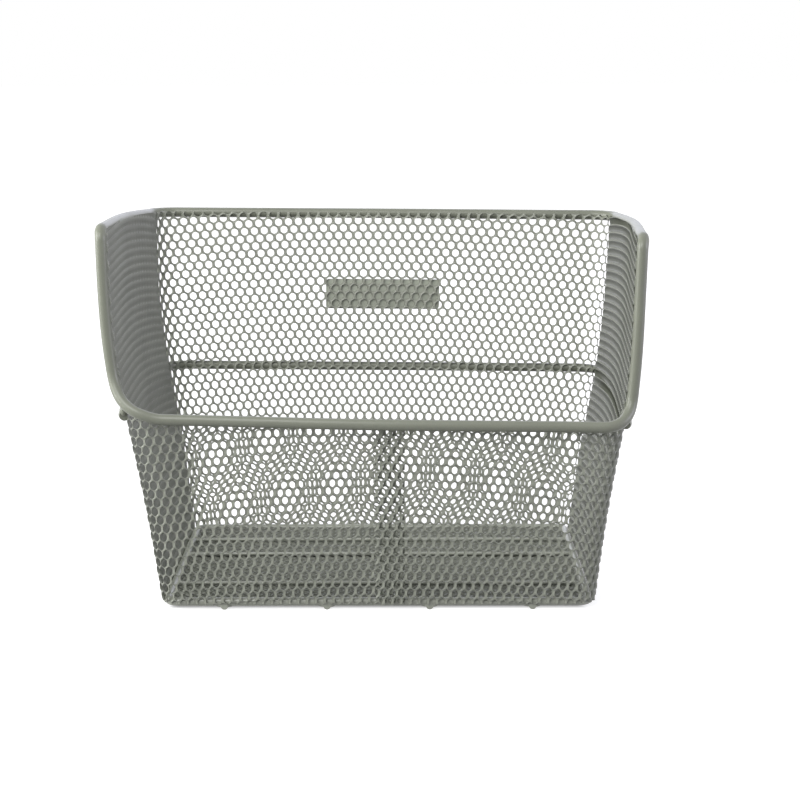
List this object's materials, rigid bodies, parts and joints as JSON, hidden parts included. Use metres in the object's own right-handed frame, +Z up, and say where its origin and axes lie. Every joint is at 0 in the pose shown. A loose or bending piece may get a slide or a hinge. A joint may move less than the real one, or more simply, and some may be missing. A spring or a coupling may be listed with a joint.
{
  "type": "bicycle basket",
  "caption": "Rear bicycle basket of expanded metal on bent wires, with a low side to load over, a high back wall and a bare plate on it.",
  "frame": {"origin": "middle of the footprint, on the surface that the runner wires stand on", "axes": "+X across the basket to the right, seen over the low side; +Y from the low side to the high back wall; +Z up"},
  "size_m": [0.4422, 0.3483, 0.307],
  "materials": {
    "wire_coat": "satin powder coat, grey-olive",
    "mesh_coat": "satin powder coat, grey-olive, on expanded metal",
    "plate_coat": "satin powder coat, grey-olive, on flat sheet"
  },
  "bodies": {
    "root": {"rim_wire": "wire_coat", "belt_wire": "wire_coat", "base_wire": "wire_coat", "runner_wire_1": "wire_coat", "runner_wire_2": "wire_coat", "runner_wire_3": "wire_coat", "runner_wire_4": "wire_coat", "cross_wire_1": "wire_coat", "cross_wire_2": "wire_coat", "cross_wire_3": "wire_coat", "wall_mesh": "mesh_coat", "floor_mesh": "mesh_coat", "back_plate": "plate_coat"}
  },
  "joints": []
}
